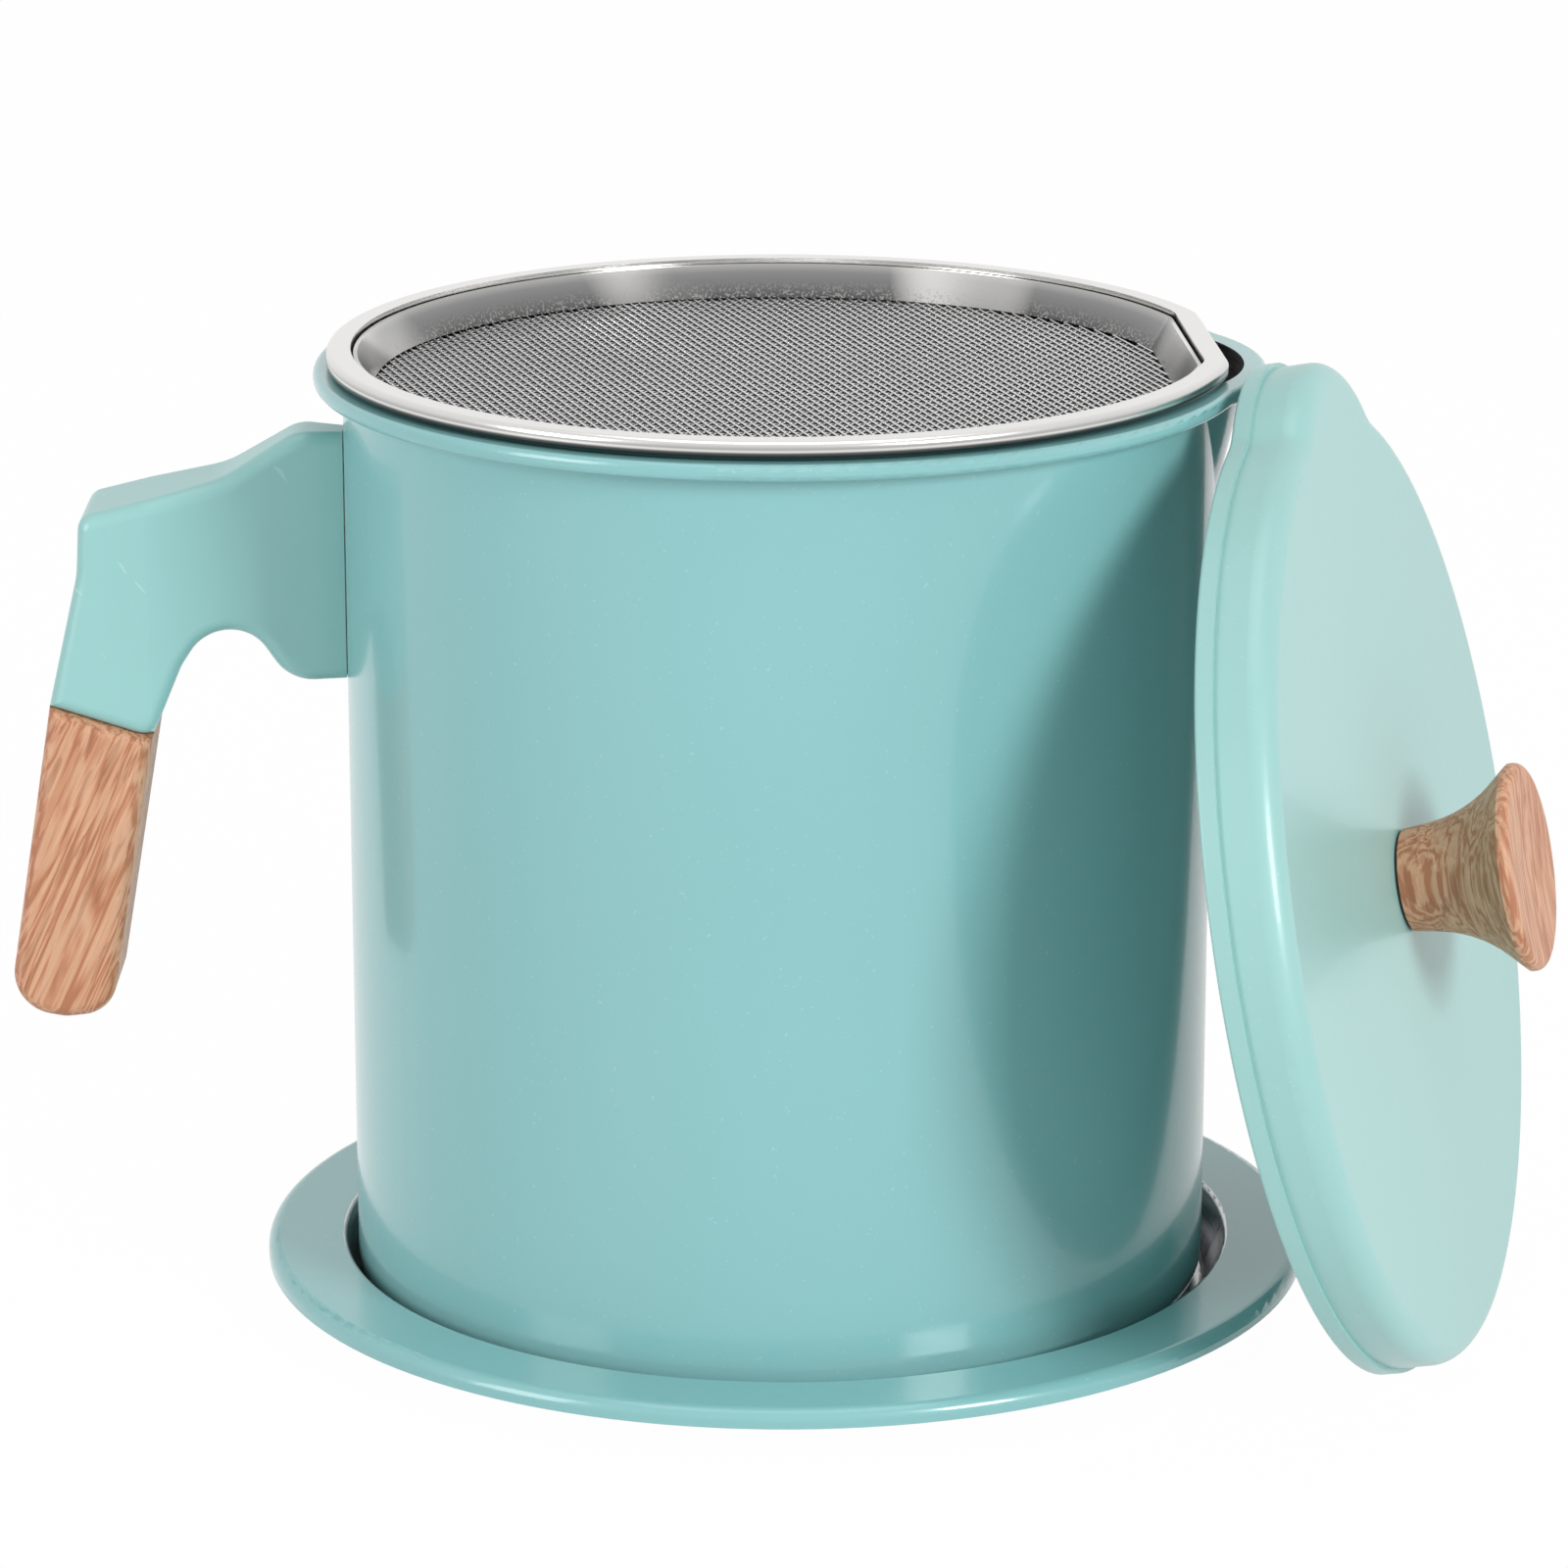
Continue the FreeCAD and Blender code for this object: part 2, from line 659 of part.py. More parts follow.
def make_grip():
    body = new_body("handle_grip_core")
    outline = new_sketch(body, "grip_outline", "XZ_Plane")
    seam = size.weld_gap
    polygon(outline, [(-size.seam_out, seam_out_height - seam), (-size.grip_end_out, size.grip_end_out_height),
                      (-size.grip_end, size.grip_end_height), (-size.grip_end_in, size.grip_end_in_height),
                      (-size.seam_in, size.seam_height - seam)])
    base = extrude(body, "Pad", "grip_block", outline, size.handle_width, midplane=True)
    base = round_corners(body, base, [
        ("grip_out_corner", post_at(-size.grip_end_out, size.grip_end_out_height), size.grip_out_round),
        ("grip_in_corner", post_at(-size.grip_end_in, size.grip_end_in_height), size.grip_in_round),
        ("grip_end_corner", post_at(-size.grip_end, size.grip_end_height), size.grip_end_round),
    ])
    half = size.handle_width / 2


    def side_edge(point):
        return near(abs(point.y), half)

    round_edges(body, "grip_edges", base, side_edge, size.handle_round)
    socket = new_sketch(body, "socket_outline", "XZ_Plane")
    tenon_outline(socket, size.fit_gap)
    extrude(body, "Pocket", "socket", socket, size.tenon_width + size.fit_gap * 2, midplane=True)
    stand(body, x=-size.pot_offset, z=handle_lift)
    bore = along_grip_tool("grip_bore", size.screw_radius + size.fit_gap, screw_foot + size.grip_screw_sink,
                           size.grip_screw_length)
    sink = along_grip_tool("grip_sink", size.screw_head_radius + size.fit_gap, screw_foot + size.screw_radius * 4,
                           size.screw_head_height + size.screw_radius * 4)
    keep(cut("handle_grip", body, bore, sink), "handle_grip")


def make_grip_screw():
    shank = along_grip_tool("grip_screw_shank", size.screw_radius, screw_foot, size.grip_screw_length)
    head = along_grip_tool("grip_screw_head", size.screw_head_radius, screw_foot,
                           size.screw_head_height - size.fit_gap)
    keep(fuse("grip_screw", shank, head), "grip_screw")


def make_handle_screw():
    """The cross screw that holds the arm on its bracket. Its head is on the far side."""
    shank = cylinder("handle_screw_shank", size.screw_radius, size.handle_screw_length)
    head = cylinder("handle_screw_head", size.screw_head_radius, size.screw_head_height - size.fit_gap)
    for thing in (shank, head):
        stand(thing, -size.handle_screw_along - size.pot_offset, screw_reach,
              size.bracket_middle + handle_lift, [(X_AXIS, right_angle)])
    keep(fuse("handle_screw", shank, head), "handle_screw")


def make_strainer():
    body = new_body("strainer_rim")
    high = size.strainer_ring_height
    outer = new_sketch(body, "ring_outline", "XY_Plane", strainer_seat)
    flattened_circle(outer, size.strainer_radius, size.strainer_flat, size.strainer_corner)
    base = extrude(body, "Pad", "ring_block", outer, high)
    outside = size.strainer_flat.number - 0.05
    base = round_edges(body, "ring_top_round", base,
                       lambda point: near(point.z, strainer_seat + high) and across(point) > outside,
                       size.strainer_edge)
    base = round_edges(body, "ring_low_round", base,
                       lambda point: near(point.z, strainer_seat) and across(point) > outside,
                       size.strainer_edge)
    inner = new_sketch(body, "ring_hole_outline", "XY_Plane", strainer_seat + high)
    width = size.strainer_ring_width
    flattened_circle(inner, size.strainer_radius - width, size.strainer_flat - width, size.mesh_corner)
    extrude(body, "Pocket", "ring_hole", inner, high)
    stand(body, -size.pot_offset, 0, 0, [(Z_AXIS, size.strainer_turn)])
    keep(body, "strainer_rim")


def dish_outline(radius, cut_x, corner, height):
    """A closed wire round the mesh dish: a circle with a rounded flat across +X."""
    corner_x = cut_x - corner
    corner_y = math.sqrt((radius - corner) ** 2 - corner_x ** 2)
    side = math.atan2(corner_y, corner_x)
    up = Vector(0, 0, 1)
    main = Part.ArcOfCircle(Part.Circle(Vector(0, 0, height), up, radius), side, 2 * math.pi - side)
    upper = Part.ArcOfCircle(Part.Circle(Vector(corner_x, corner_y, height), up, corner), 0, side)
    lower = Part.ArcOfCircle(Part.Circle(Vector(corner_x, -corner_y, height), up, corner), -side, 0)
    line = Part.LineSegment(Vector(cut_x, -corner_y, height), Vector(cut_x, corner_y, height))
    return Part.Wire(Part.__sortEdges__([piece.toShape() for piece in (main, upper, lower, line)]))


def make_mesh():
    """The mesh dish: a leaning wall band and a floor that is one face with square holes."""
    wall = size.mesh_wall.number
    corner = size.mesh_corner.number
    top = (strainer_seat + size.strainer_ring_height - size.mesh_drop).number
    floor = (strainer_seat + size.strainer_ring_height - size.mesh_depth).number
    top_radius = (size.strainer_radius - size.strainer_ring_width - size.mesh_gap).number
    top_flat = (size.strainer_flat - size.strainer_ring_width - size.mesh_gap).number
    taper = size.mesh_taper.number
    floor_radius = top_radius - taper
    floor_flat = top_flat - taper

    def frustum(inset, low, high):
        share = (low - floor) / (top - floor)
        low_inset = inset - taper * share
        low_wire = dish_outline(floor_radius - low_inset, floor_flat - low_inset, corner - inset, low)
        high_wire = dish_outline(top_radius - inset, top_flat - inset, corner - inset, high)
        return Part.makeLoft([low_wire, high_wire], True, True)

    band = frustum(0, floor, top).cut(frustum(wall, floor, top))
    pitch = size.mesh_pitch.number
    half_hole = size.mesh_hole.number / 2
    border = size.mesh_border.number
    reach = int(floor_radius / pitch) + 1
    wires = [dish_outline(floor_radius, floor_flat, corner, floor)]
    for column in range(-reach, reach + 1):
        for row in range(-reach, reach + 1):
            x, y = column * pitch, row * pitch
            far = math.hypot(abs(x) + half_hole, abs(y) + half_hole)
            if far > floor_radius - border or x + half_hole > floor_flat - border:
                continue
            corners = [Vector(x + half_hole * sx, y + half_hole * sy, floor)
                       for sx, sy in ((-1, -1), (1, -1), (1, 1), (-1, 1), (-1, -1))]
            wires.append(Part.makePolygon(corners))
    net = Part.Face(wires, "Part::FaceMakerBullseye").extrude(Vector(0, 0, wall))
    thing = doc.addObject("Part::Feature", "strainer_mesh")
    thing.Shape = band.fuse(net).removeSplitter()
    stand(thing, -size.pot_offset, 0, 0, [(Z_AXIS, size.strainer_turn)])
    keep(thing, "strainer_mesh")


# The lid stands on its lip and leans towards the rim: from the pot's axis to the lid's middle is the rim's
# reach that way, a gap, and the run of the lean between the heights of the rim and of the lid's middle.
lid_middle = size.lid_lip_radius * cosine(size.lid_lean)
rim_reach = (size.rim_tip - size.rim_tip_curve) * cosine(size.lid_swing) + size.rim_tip_curve
lean_run = (size.pot_rim_height - lid_middle) * sine(size.lid_lean) / cosine(size.lid_lean)
lid_out = rim_reach + size.lid_gap + lean_run
lid_along = lid_out * cosine(size.lid_swing) - size.lid_aside * sine(size.lid_swing) - size.pot_offset
lid_across = lid_out * sine(size.lid_swing) + size.lid_aside * cosine(size.lid_swing)
LID_TURNS = [(Z_AXIS, -size.lid_swing), (Y_AXIS, right_angle - size.lid_lean),
             (Z_AXIS, half_turn - size.lid_beak_turn)]


def lean_with_lid(thing):
    stand(thing, lid_along, -lid_across, lid_middle, LID_TURNS)


def make_lid():
    body = new_body("lid_shell")
    step = size.lid_lip_step
    wall = size.lid_wall
    top = size.lid_height
    lip = size.lid_lip_height

    def slab(kind, name, low, length, inset):
        sketch = new_sketch(body, name + "_outline", "XY_Plane", low)
        beaked_circle(sketch, size.lid_lip_radius - inset, size.lid_lip_radius + size.lid_beak_reach - inset,
                      size.lid_lip_curve - inset, size.lid_blend + inset)
        return extrude(body, kind, name, sketch, length, reverse=kind == "Pocket")

    slab("Pad", "lid_lip", Size.of(0), lip, Size.of(0))
    base = slab("Pad", "lid_wall_block", lip, top - lip, step)
    outside = (size.lid_lip_radius - step).number - 0.05
    base = round_edges(body, "lid_shoulder", base,
                       lambda point: near(point.z, top) and across(point) > outside, size.lid_shoulder)
    base = round_edges(body, "lid_lip_foot", base,
                       lambda point: near(point.z, 0) and across(point) > outside, size.lid_edge)
    slab("Pocket", "lid_lip_hollow", Size.of(0), lip + step, wall)
    base = slab("Pocket", "lid_hollow", Size.of(0), top - wall, wall + step)
    base = round_edges(body, "lid_hollow_round", base,
                       lambda point: near(point.z, top - wall) and across(point) > outside - wall.number,
                       size.lid_shoulder - wall)
    hole = new_sketch(body, "lid_hole_outline", "XY_Plane", top - wall)
    circle(hole, size.knob_screw_radius + size.fit_gap)
    extrude(body, "Pocket", "lid_hole", hole, wall, reverse=True)
    lean_with_lid(body)
    keep(body, "lid_shell")


def make_turned(label, points, corners=()):
    """A piece turned about the knob's axis from a half profile."""
    body = new_body(label)
    sketch = new_sketch(body, label + "_profile", "XZ_Plane")
    polygon(sketch, points)
    base = turn(body, "Revolution", label + "_turned", sketch)
    round_corners(body, base, corners)
    lean_with_lid(body)
    keep(body, label)


def make_knob():
    face = size.lid_height
    foot = face + size.washer_thickness
    bore = size.knob_screw_radius + size.fit_gap
    make_turned("knob_washer", [(bore, face), (size.washer_radius, face), (size.washer_radius, foot), (bore, foot)])
    top = face + size.knob_height
    brim = top - size.knob_brim
    cap = size.knob_cap_radius
    neck_height = face + size.knob_neck_height
    pocket = size.insert_radius + size.fit_gap
    pocket_end = foot + size.insert_length + size.fit_gap * 4
    dish_radius = cap - size.knob_edge * 2
    make_turned("lid_knob", [
        (pocket, foot), (size.knob_base_radius, foot), (size.knob_neck_radius, neck_height),
        (cap, brim), (cap, top), (dish_radius, top), (0, top - size.knob_dish), (0, pocket_end),
        (pocket, pocket_end)], [
        ("knob_neck_bend", ring_at(size.knob_neck_radius, neck_height), size.knob_neck_curve),
        ("knob_top_round", ring_at(cap, top), size.knob_edge),
    ])
    insert_foot = foot + size.fit_gap
    make_turned("knob_insert", [
        (bore, insert_foot), (size.insert_radius, insert_foot),
        (size.insert_radius, insert_foot + size.insert_length), (bore, insert_foot + size.insert_length)])
    seat = face - size.lid_wall
    head_foot = seat - size.knob_head_height
    radius = size.knob_screw_radius
    make_turned("knob_screw", [
        (0, head_foot), (size.knob_head_radius, head_foot), (size.knob_head_radius, seat), (radius, seat),
        (radius, seat + size.knob_screw_length), (0, seat + size.knob_screw_length)], [
        ("knob_screw_round", ring_at(size.knob_head_radius, head_foot), size.lid_edge),
    ])


make_tray()
make_pot()
make_bracket()
make_arm()
make_handle_screw()
make_grip()
make_grip_screw()
make_strainer()
make_mesh()
make_lid()
make_knob()

doc.recompute()
for thing in doc.Objects:
    if "Invalid" in thing.State or "Error" in thing.State:
        raise RuntimeError(f"{thing.Name} did not build: {thing.State}")
for thing in PARTS:
    if thing.Shape.isNull() or not thing.Shape.isValid():
        raise RuntimeError(thing.Label + " has no sound shape")
for thing in PARTS:
    thing.Shape.exportStep("parts/" + thing.Label + ".step")
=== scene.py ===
import math
from collections import namedtuple

import bmesh
import bpy
from bpy.props import FloatProperty, FloatVectorProperty, PointerProperty
from mathutils import Matrix, Vector


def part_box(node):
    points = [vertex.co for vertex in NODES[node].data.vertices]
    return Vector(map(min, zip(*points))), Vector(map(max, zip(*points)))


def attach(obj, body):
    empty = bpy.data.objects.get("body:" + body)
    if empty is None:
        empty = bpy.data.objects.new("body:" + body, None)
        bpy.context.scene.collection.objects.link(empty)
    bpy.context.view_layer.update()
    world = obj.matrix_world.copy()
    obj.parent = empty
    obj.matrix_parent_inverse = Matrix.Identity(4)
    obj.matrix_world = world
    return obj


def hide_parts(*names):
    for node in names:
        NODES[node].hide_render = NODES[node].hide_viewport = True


bl_info = {
    "name": "Grease keeper",
    "version": (1, 0, 0),
    "blender": (4, 5, 0),
    "location": "3D View > Sidebar > Keeper",
    "description": "Dresses a kitchen grease keeper: paint, wood, steel and a woven strainer",
    "category": "Object",
}

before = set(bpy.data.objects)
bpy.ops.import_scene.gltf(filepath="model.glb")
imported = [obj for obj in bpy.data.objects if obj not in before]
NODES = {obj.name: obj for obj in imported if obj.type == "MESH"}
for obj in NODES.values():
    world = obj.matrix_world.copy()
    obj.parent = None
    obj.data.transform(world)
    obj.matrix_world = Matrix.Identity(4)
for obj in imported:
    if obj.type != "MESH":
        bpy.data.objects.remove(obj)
MM = 0.001
UP = Vector((0.0, 0.0, 1.0))
BLACK = (0.0, 0.0, 0.0)
WHITE = (1.0, 1.0, 1.0)


def grey(level):
    """A neutral colour, from 0, black, to 1, white."""
    return (level, level, level)


# Where the pieces stand in the frame
RING_LOW, RING_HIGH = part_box("strainer_rim")
DISH_LOW, DISH_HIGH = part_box("strainer_mesh")
POT_AXIS = Vector((-0.8, 0.0, 0.0)) * MM
POT_RIM = POT_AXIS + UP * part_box("pot_shell")[1].z
TRAY_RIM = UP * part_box("tray_dish")[1].z

# The lid leans by one angle and is swung round the pot by another. Its lip is the mouth of its hollow.
LID_LEAN = math.radians(11.6)
LID_SWING = math.radians(16.8)
LID_OUT = Vector((math.cos(LID_LEAN) * math.cos(LID_SWING),
                  -math.cos(LID_LEAN) * math.sin(LID_SWING),
                  math.sin(LID_LEAN)))
LID_RADIUS = 71.8 * MM
LID_LIP = Vector((81.15 * MM, -28.15 * MM, LID_RADIUS * math.cos(LID_LEAN)))

# How the wood's grain is turned: on the leaning grip, whose grain slants across it, and on the knob
GRIP_LEAN = math.radians(9.3)
GRAIN_SLANT = math.radians(16)
GRIP_GRAIN = (0.0, -GRIP_LEAN - GRAIN_SLANT, 0.0)
KNOB_GRAIN = (math.radians(10), math.radians(12), 0.0)

# How the strainer is turned in the pot, and the net in the strainer
STRAINER_TURN = math.radians(4.0)
WEAVE_TURN = math.radians(14.0)

# Heights of the net's wires over its middle, in wire radii
STRAIGHT_RISE = 0.7
CREST_RISE = -0.4
DIP_RISE = -1.5
BETWEEN_RISE = -0.9

# For the dish's wall: a height just over its floor, how near two vertices become one, and a sharp fold
FLOOR_SHEET = 0.7 * MM
MERGE = 0.001 * MM
SHARP = math.radians(30)

# Painted reflection and shade as steel greys, from foot to top: outside the ring's rolled edge (painted
# dark bands and a painted highlight line), and on the dish's wall (painted shade, darkest at the foot)
RING_PAINTED_REFLECTION = [(0.0, grey(0.34)), (0.12, grey(0.07)), (0.36, grey(0.10)), (0.48, (0.80, 0.79, 0.77)),
              (0.60, (0.42, 0.42, 0.41)), (0.80, (0.66, 0.65, 0.64)), (1.0, (0.74, 0.73, 0.71))]
WALL_PAINTED_REFLECTION = [(0.0, grey(0.05)), (0.22, grey(0.13)), (0.5, grey(0.20)), (0.8, grey(0.26)),
              (1.0, (0.42, 0.42, 0.41))]

# How rough the metals are, and how many lines a metre their grain has
FIXING_ROUGHNESS = 0.3
FIXING_GRAIN = 500.0
RING_ROUGHNESS = 0.14
RING_GRAIN = 700.0
WIRE_ROUGHNESS = 0.26
WIRE_GRAIN = 1500.0
TRAY_INSIDE_ROUGHNESS = 0.14
POT_INSIDE_ROUGHNESS = 0.28
BRASS = (0.72, 0.53, 0.24)

# How glossy the paint is, from 0 to 1
FULL_GLOSS = 1.0
LID_GLOSS = 0.3

# The photograph's camera
CAMERA_PLACE = Vector((-0.18, -922.8, 342.4)) * MM
CAMERA_PITCH = math.radians(15.97)
CAMERA_LENS = 145.4
CAMERA_SENSOR = 36.0
CAMERA_NEAR = 10 * MM

# The studio: a white floor just under the tray, dim white surroundings and lamps, in metres and watts
FLOOR_SIZE = 12.0
FLOOR_DROP = 0.05 * MM
FLOOR_MATT = (0.80, 0.81, 0.82)
FLOOR_WHITENESS = 0.985
AMBIENT = 0.40
LAMP_TARGET = Vector((0.0, 0.0, 0.07))
Lamp = namedtuple("Lamp", "name place width height power")
LAMPS = (
    Lamp("right_window", Vector((0.80, -0.90, 0.55)), 0.35, 0.45, 9.6),
    Lamp("left_window", Vector((-0.95, -0.62, 0.40)), 0.45, 0.7, 5.2),
    Lamp("top_soft", Vector((0.0, -0.1, 1.3)), 0.9, 0.9, 3.0),
)


def linear(red, green, blue):
    """A screen colour, 0 to 255, as the linear colour that the shader takes."""
    def one(value):
        value = value / 255
        return value / 12.92 if value <= 0.04045 else ((value + 0.055) / 1.055) ** 2.4
    return (one(red), one(green), one(blue))


def toned(colour, share):
    """A colour made darker, or lighter up to white, by a share."""
    return tuple(min(1.0, share * part) for part in colour)


class Link:
    """A socket in a node tree. Sums and comparisons on it add their Math nodes."""

    def __init__(self, nodes, socket):
        self.nodes = nodes
        self.socket = socket

    def sum(self, operation, first, second):
        return self.nodes.node("ShaderNodeMath", {"operation": operation}, {0: first, 1: second})

    def __add__(self, other):
        return self.sum("ADD", self, other)

    def __radd__(self, other):
        return self.sum("ADD", other, self)

    def __sub__(self, other):
        return self.sum("SUBTRACT", self, other)

    def __rsub__(self, other):
        return self.sum("SUBTRACT", other, self)

    def __mul__(self, other):
        return self.sum("MULTIPLY", self, other)

    def __truediv__(self, other):
        return self.sum("DIVIDE", self, other)

    def __gt__(self, other):
        return self.sum("GREATER_THAN", self, other)

    def __lt__(self, other):
        return self.sum("LESS_THAN", self, other)

    def __or__(self, other):
        return self.sum("MAXIMUM", self, other)

    def __and__(self, other):
        return self.sum("MULTIPLY", self, other)


class Nodes:
    """A node tree, emptied and then built node by node."""

    def __init__(self, tree):
        self.tree = tree
        tree.nodes.clear()

    def node(self, kind, settings=None, values=None, output=0):
        """Add a node, set and link its inputs, and give one of its outputs."""
        made = self.tree.nodes.new(kind)
        for key, value in (settings or {}).items():
            if key == "stops":
                self.set_stops(made.color_ramp, value)
            else:
                setattr(made, key, value)
        for key, value in (values or {}).items():
            if isinstance(value, Link):
                self.tree.links.new(value.socket, made.inputs[key])
            else:
                made.inputs[key].default_value = value
        return Link(self, made.outputs[output])

    @staticmethod
    def set_stops(ramp, stops):
        while len(ramp.elements) < len(stops):
            ramp.elements.new(1.0)
        for element, (place, colour) in zip(ramp.elements, stops):
            element.position = place
            element.color = (*colour, 1.0)

    def ray(self, kind):
        """1 where this kind of ray looks, else 0."""
        return self.node("ShaderNodeLightPath", output=kind)

    def end_with(self, kind, shader):
        target = self.tree.nodes.new(kind)
        self.tree.links.new(shader.socket, target.inputs["Surface"])


class Finish(Nodes):
    """One material, patterned by the object coordinates, which are the frame's."""

    def __init__(self, name):
        self.material = bpy.data.materials.new(name)
        self.material.use_nodes = True
        super().__init__(self.material.node_tree)

    def place(self):
        return self.node("ShaderNodeTexCoord", output="Object")

    def normal(self):
        return self.node("ShaderNodeNewGeometry", output="Normal")

    def vector(self, operation, values, output=0):
        return self.node("ShaderNodeVectorMath", {"operation": operation}, values, output)

    def dot(self, first, second):
        return self.vector("DOT_PRODUCT", {0: first, 1: second}, "Value")

    def offset(self, centre):
        """The way from a centre to the shaded point."""
        return self.vector("SUBTRACT", {0: self.place(), 1: tuple(centre)})

    def rise(self, foot, top):
        """0 at the height of one point and 1 at that of another."""
        return (self.dot(self.place(), tuple(UP)) - foot.z) / (top.z - foot.z)

    def mapped(self, scale=(1, 1, 1), turn=(0, 0, 0), centre=(0, 0, 0)):
        """Object coordinates seen from a centre, turned, then stretched."""
        settings = {"vector_type": "POINT"}
        seen = self.offset(centre)
        turned = self.node("ShaderNodeMapping", settings, {"Vector": seen, "Rotation": turn})
        return self.node("ShaderNodeMapping", settings, {"Vector": turned, "Scale": scale})

    def noise(self, vector, scale, detail, distortion=0.0):
        values = {"Vector": vector, "Scale": scale, "Detail": detail, "Distortion": distortion}
        return self.node("ShaderNodeTexNoise", {}, values, "Fac")

    def ramp(self, value, stops):
        return self.node("ShaderNodeValToRGB", {"stops": stops}, {"Fac": value}, "Color")

    def mix(self, factor, first, second):
        def colour(value):
            return value if isinstance(value, Link) else (*value, 1.0)
        values = {0: factor, 6: colour(first), 7: colour(second)}
        return self.node("ShaderNodeMix", {"data_type": "RGBA"}, values, 2)

    def bump(self, height, strength, distance):
        values = {"Height": height, "Strength": strength, "Distance": distance}
        return self.node("ShaderNodeBump", {}, values)

    def surface(self, **values):
        """End the material with a Principled shader. The values are its inputs, named in snake case."""
        named = {key.replace("_", " ").title(): value for key, value in values.items()}
        shader = self.node("ShaderNodeBsdfPrincipled", {}, named, "BSDF")
        self.end_with("ShaderNodeOutputMaterial", shader)
        return self.material


def inner_side(finish, rim, out):
    """1 on the hollow side of a pressed shell whose mouth is at rim and opens towards out, else 0."""
    facing_in, facing_out, below_rim = -0.2, 0.5, -5 * MM
    normal = finish.normal()
    seen = finish.offset(rim)
    depth = finish.dot(seen, tuple(out))
    drop = finish.vector("SCALE", {0: tuple(out), "Scale": depth})
    sideways = finish.vector("NORMALIZE", {0: finish.vector("SUBTRACT", {0: seen, 1: drop})})
    wall = finish.dot(sideways, normal) < facing_in
    bottom = (finish.dot(normal, tuple(out)) > facing_out) & (depth < below_rim)
    return wall | bottom


def painted_steel(name, colour, rim, out, inside_roughness, gloss, bare_inside=True):
    """Paint with a faint orange peel outside, and spun bare steel or paint inside."""
    finish = Finish(name)
    place = finish.place()
    cloud = finish.noise(place, scale=14.0, detail=2.0)
    peel = finish.noise(place, scale=620.0, detail=2.0)
    dust = finish.noise(place, scale=1500.0, detail=1.0) > 0.74
    paint = finish.mix(cloud, toned(colour, 0.96), toned(colour, 1.04))
    paint = finish.mix(dust * 0.10, paint, (0.9, 0.95, 0.95))
    spun = finish.noise(finish.mapped(scale=(40.0, 40.0, 900.0), centre=rim), scale=3.0, detail=2.0)
    steel = finish.ramp(spun, [(0.3, (0.36, 0.36, 0.37)), (0.7, (0.56, 0.56, 0.57))])
    inside = inner_side(finish, rim, out) * float(bare_inside)
    outside = 1.0 - inside
    sheen = 0.34 - 0.18 * gloss + cloud * 0.10
    return finish.surface(
        base_color=finish.mix(inside, paint, steel),
        metallic=inside,
        roughness=inside * (inside_roughness + spun * 0.12) + outside * sheen,
        coat_weight=outside * (0.05 + 0.30 * gloss),
        coat_roughness=0.06,
        normal=finish.bump(peel * outside + spun * inside * 0.5, strength=0.12, distance=0.15 * MM))


def moulded_plastic(name, colour):
    """Satin moulded plastic with flow marks and a few pale scuffs."""
    finish = Finish(name)
    place = finish.place()
    cloud = finish.noise(place, scale=30.0, detail=3.0)
    grain = finish.noise(place, scale=1300.0, detail=2.0)
    drawn = finish.mapped(scale=(1.0, 1.0, 0.25), turn=(0.0, math.radians(35), 0.0))
    flow = finish.noise(drawn, scale=210.0, detail=3.0, distortion=1.5)
    scuff = (flow > 0.70) * 0.18
    base = finish.mix(cloud, toned(colour, 0.94), toned(colour, 1.05))
    return finish.surface(
        base_color=finish.mix(scuff, base, (0.80, 0.92, 0.90)),
        roughness=0.27 + grain * 0.12 + scuff * 0.4,
        coat_weight=0.12,
        coat_roughness=0.2,
        normal=finish.bump(flow * 0.6 + grain * 0.4, strength=0.14, distance=0.25 * MM))


def wood(name, colours, turn, centre):
    """Light varnished wood: broad wandering bands, fine fibres and short dark pores along the grain."""
    finish = Finish(name)
    pale, middle, dark = tuple(colours.wood_pale), tuple(colours.wood_middle), tuple(colours.wood_dark)

    def drawn_out(share):
        return finish.mapped(scale=(1.0, 1.0, share), turn=turn, centre=centre)

    along = drawn_out(0.09)
    drift = finish.noise(along, scale=150.0, detail=4.0, distortion=0.6)
    bands = finish.node("ShaderNodeMath", {"operation": "SINE"}, {0: drift * 74.0}) * 0.5 + 0.5
    broad = finish.noise(along, scale=70.0, detail=3.0, distortion=0.4)
    fibre = finish.noise(drawn_out(0.035), scale=1500.0, detail=3.0)
    pore = (finish.noise(drawn_out(0.07), scale=1050.0, detail=2.0) > 0.62) * 0.35
    base = finish.ramp(bands * 0.55 + broad * 0.45, [(0.28, dark), (0.52, middle), (0.82, pale)])
    base = finish.mix((fibre > 0.57) * 0.34, base, toned(pale, 1.25))
    return finish.surface(
        base_color=finish.mix(pore, base, toned(dark, 0.62)),
        roughness=0.42 + fibre * 0.14 + pore * 0.1,
        coat_weight=0.06,
        coat_roughness=0.15,
        normal=finish.bump(fibre * 0.5 - pore * 0.8 + bands * 0.2, strength=0.22, distance=0.2 * MM))


